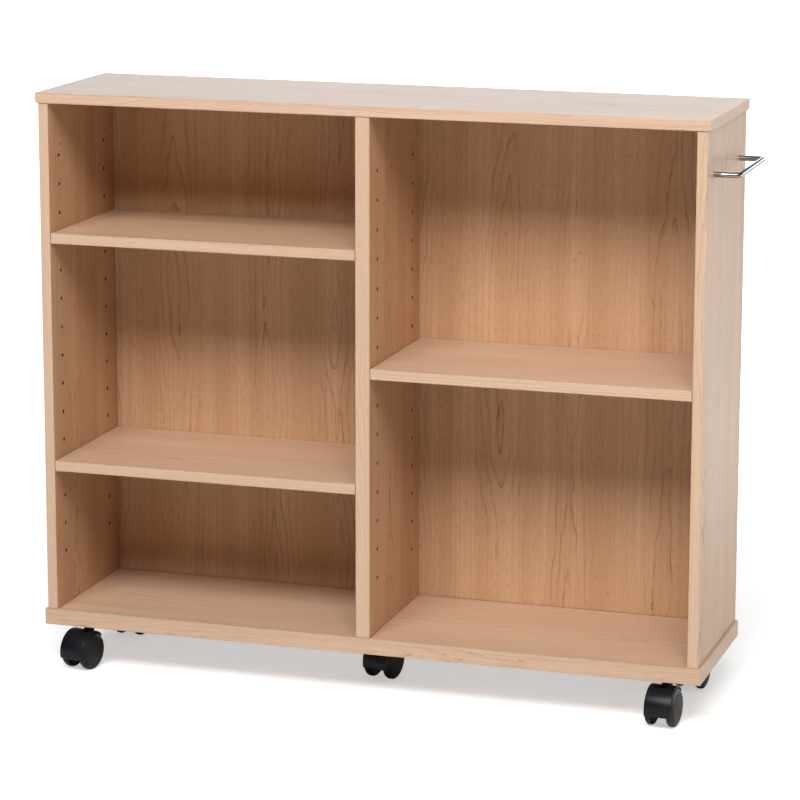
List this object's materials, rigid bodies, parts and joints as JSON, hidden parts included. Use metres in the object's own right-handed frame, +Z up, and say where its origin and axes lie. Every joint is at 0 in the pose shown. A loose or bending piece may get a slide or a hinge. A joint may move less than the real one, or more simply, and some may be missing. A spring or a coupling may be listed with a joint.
{
  "type": "rolling storage unit",
  "caption": "Open-fronted rolling shelf cabinet with a divider, adjustable shelves on pins, a side pull handle and twin-wheel swivel casters.",
  "frame": {"origin": "the floor point under the middle of the whole unit's bounding box, with the handle and the front casters counted in", "axes": "+Z up; +X to the right seen from the open front, towards the end with the pull handle; the open front faces -Y"},
  "size_m": [1.2105, 0.3209, 1.016],
  "materials": {
    "maple_laminate": "satin maple-pattern laminate on board, with matching edge bands",
    "polished_steel": "polished bright steel rod",
    "zinc_plated_steel": "zinc-plated steel",
    "brass": "turned brass",
    "black_nylon": "moulded black nylon, slight sheen",
    "black_nylon_tread": "moulded black nylon wheel, matt"
  },
  "bodies": {
    "cabinet": {"top_panel": "maple_laminate", "bottom_panel": "maple_laminate", "side_panel_left": "maple_laminate", "side_panel_right": "maple_laminate", "divider_panel": "maple_laminate", "back_panel": "maple_laminate", "handle_bar": "polished_steel", "handle_screw_front": "zinc_plated_steel", "handle_screw_rear": "zinc_plated_steel", "shelf_upper_left_pin_1": "zinc_plated_steel", "shelf_upper_left_pin_2": "zinc_plated_steel", "shelf_upper_left_pin_3": "zinc_plated_steel", "shelf_upper_left_pin_4": "zinc_plated_steel", "shelf_lower_left_pin_1": "zinc_plated_steel", "shelf_lower_left_pin_2": "zinc_plated_steel", "shelf_lower_left_pin_3": "zinc_plated_steel", "shelf_lower_left_pin_4": "zinc_plated_steel", "shelf_right_pin_1": "zinc_plated_steel", "shelf_right_pin_2": "zinc_plated_steel", "shelf_right_pin_3": "zinc_plated_steel", "shelf_right_pin_4": "zinc_plated_steel", "frame_screw_left_front": "zinc_plated_steel", "frame_screw_left_rear": "zinc_plated_steel", "frame_screw_middle_front": "zinc_plated_steel", "frame_screw_middle_rear": "zinc_plated_steel", "frame_screw_right_front": "zinc_plated_steel", "frame_screw_right_rear": "zinc_plated_steel", "caster_front_left_insert": "brass", "caster_front_right_insert": "brass", "caster_middle_insert": "brass", "caster_rear_left_insert": "brass", "caster_rear_right_insert": "brass", "caster_front_left_stem": "zinc_plated_steel", "caster_front_right_stem": "zinc_plated_steel", "caster_middle_stem": "zinc_plated_steel", "caster_rear_left_stem": "zinc_plated_steel", "caster_rear_right_stem": "zinc_plated_steel"},
    "shelf_upper_left": {"shelf_upper_left": "maple_laminate"},
    "shelf_lower_left": {"shelf_lower_left": "maple_laminate"},
    "shelf_right": {"shelf_right": "maple_laminate"},
    "caster_front_left_swivel": {"caster_front_left_hood": "black_nylon", "caster_front_left_axle": "zinc_plated_steel"},
    "caster_front_left_wheel_left": {"caster_front_left_wheel_left": "black_nylon_tread"},
    "caster_front_left_wheel_right": {"caster_front_left_wheel_right": "black_nylon_tread"},
    "caster_front_right_swivel": {"caster_front_right_hood": "black_nylon", "caster_front_right_axle": "zinc_plated_steel"},
    "caster_front_right_wheel_left": {"caster_front_right_wheel_left": "black_nylon_tread"},
    "caster_front_right_wheel_right": {"caster_front_right_wheel_right": "black_nylon_tread"},
    "caster_middle_swivel": {"caster_middle_hood": "black_nylon", "caster_middle_axle": "zinc_plated_steel"},
    "caster_middle_wheel_left": {"caster_middle_wheel_left": "black_nylon_tread"},
    "caster_middle_wheel_right": {"caster_middle_wheel_right": "black_nylon_tread"},
    "caster_rear_left_swivel": {"caster_rear_left_hood": "black_nylon", "caster_rear_left_axle": "zinc_plated_steel"},
    "caster_rear_left_wheel_left": {"caster_rear_left_wheel_left": "black_nylon_tread"},
    "caster_rear_left_wheel_right": {"caster_rear_left_wheel_right": "black_nylon_tread"},
    "caster_rear_right_swivel": {"caster_rear_right_hood": "black_nylon", "caster_rear_right_axle": "zinc_plated_steel"},
    "caster_rear_right_wheel_left": {"caster_rear_right_wheel_left": "black_nylon_tread"},
    "caster_rear_right_wheel_right": {"caster_rear_right_wheel_right": "black_nylon_tread"}
  },
  "joints": [
    {"name": "shelf_upper_left_slide", "type": "slide", "parent": "cabinet", "child": "shelf_upper_left", "axis": [0, -1, 0], "range_m": [0, 0.3]},
    {"name": "shelf_lower_left_slide", "type": "slide", "parent": "cabinet", "child": "shelf_lower_left", "axis": [0, -1, 0], "range_m": [0, 0.3]},
    {"name": "shelf_right_slide", "type": "slide", "parent": "cabinet", "child": "shelf_right", "axis": [0, -1, 0], "range_m": [0, 0.3]},
    {"name": "caster_front_left_swivel_turn", "type": "hinge", "parent": "cabinet", "child": "caster_front_left_swivel", "pos_m": [-0.54075, -0.10049, 0.07], "axis": [0, 0, 1], "continuous": true},
    {"name": "caster_front_left_wheel_left_roll", "type": "hinge", "parent": "caster_front_left_swivel", "child": "caster_front_left_wheel_left", "pos_m": [-0.54525, -0.11997, 0.0325], "axis": [0.9744, -0.225, 0], "continuous": true},
    {"name": "caster_front_left_wheel_right_roll", "type": "hinge", "parent": "caster_front_left_swivel", "child": "caster_front_left_wheel_right", "pos_m": [-0.54525, -0.11997, 0.0325], "axis": [0.9744, -0.225, 0], "continuous": true},
    {"name": "caster_front_right_swivel_turn", "type": "hinge", "parent": "cabinet", "child": "caster_front_right_swivel", "pos_m": [0.50025, -0.10049, 0.07], "axis": [0, 0, 1], "continuous": true},
    {"name": "caster_front_right_wheel_left_roll", "type": "hinge", "parent": "caster_front_right_swivel", "child": "caster_front_right_wheel_left", "pos_m": [0.49851, -0.12041, 0.0325], "axis": [0.9962, -0.0872, 0], "continuous": true},
    {"name": "caster_front_right_wheel_right_roll", "type": "hinge", "parent": "caster_front_right_swivel", "child": "caster_front_right_wheel_right", "pos_m": [0.49851, -0.12041, 0.0325], "axis": [0.9962, -0.0872, 0], "continuous": true},
    {"name": "caster_middle_swivel_turn", "type": "hinge", "parent": "cabinet", "child": "caster_middle_swivel", "pos_m": [-0.02025, 0.00902, 0.07], "axis": [0, 0, 1], "continuous": true},
    {"name": "caster_middle_wheel_left_roll", "type": "hinge", "parent": "caster_middle_swivel", "child": "caster_middle_wheel_left", "pos_m": [-0.02407, -0.01062, 0.0325], "axis": [0.9816, -0.1908, 0], "continuous": true},
    {"name": "caster_middle_wheel_right_roll", "type": "hinge", "parent": "caster_middle_swivel", "child": "caster_middle_wheel_right", "pos_m": [-0.02407, -0.01062, 0.0325], "axis": [0.9816, -0.1908, 0], "continuous": true},
    {"name": "caster_rear_left_swivel_turn", "type": "hinge", "parent": "cabinet", "child": "caster_rear_left_swivel", "pos_m": [-0.54075, 0.11851, 0.07], "axis": [0, 0, 1], "continuous": true},
    {"name": "caster_rear_left_wheel_left_roll", "type": "hinge", "parent": "caster_rear_left_swivel", "child": "caster_rear_left_wheel_left", "pos_m": [-0.54145, 0.09853, 0.0325], "axis": [0.9994, -0.0349, 0], "continuous": true},
    {"name": "caster_rear_left_wheel_right_roll", "type": "hinge", "parent": "caster_rear_left_swivel", "child": "caster_rear_left_wheel_right", "pos_m": [-0.54145, 0.09853, 0.0325], "axis": [0.9994, -0.0349, 0], "continuous": true},
    {"name": "caster_rear_right_swivel_turn", "type": "hinge", "parent": "cabinet", "child": "caster_rear_right_swivel", "pos_m": [0.50025, 0.11851, 0.07], "axis": [0, 0, 1], "continuous": true},
    {"name": "caster_rear_right_wheel_left_roll", "type": "hinge", "parent": "caster_rear_right_swivel", "child": "caster_rear_right_wheel_left", "pos_m": [0.49816, 0.09863, 0.0325], "axis": [0.9945, -0.1045, 0], "continuous": true},
    {"name": "caster_rear_right_wheel_right_roll", "type": "hinge", "parent": "caster_rear_right_swivel", "child": "caster_rear_right_wheel_right", "pos_m": [0.49816, 0.09863, 0.0325], "axis": [0.9945, -0.1045, 0], "continuous": true}
  ]
}
